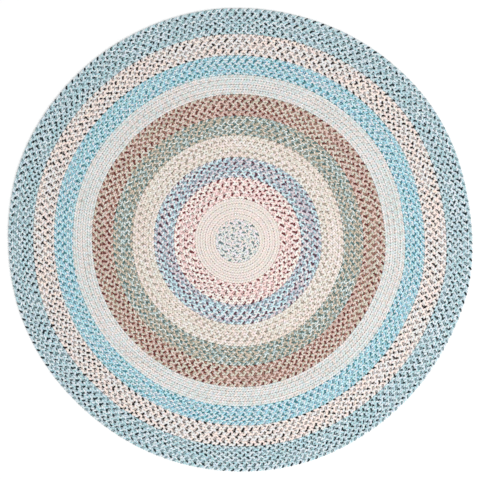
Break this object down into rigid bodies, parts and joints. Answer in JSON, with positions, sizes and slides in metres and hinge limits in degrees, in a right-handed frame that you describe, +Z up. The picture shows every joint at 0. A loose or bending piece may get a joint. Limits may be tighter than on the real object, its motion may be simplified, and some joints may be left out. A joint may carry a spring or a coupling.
{
  "type": "round braided rug",
  "caption": "Flat round rug of multicoloured braid laced edge to edge in concentric rows, with bands of heathered colour, lying on a floor.",
  "frame": {"origin": "middle of the rug's underside, on the floor", "axes": "+Z up, out of the upper face; +Y towards the top of the rug as it is seen from above"},
  "size_m": [1.2213, 1.2191, 0.008],
  "materials": {
    "braided_yarn": "matt heathered yarn, braided"
  },
  "bodies": {
    "root": {"braided_rug": "braided_yarn"}
  },
  "joints": []
}
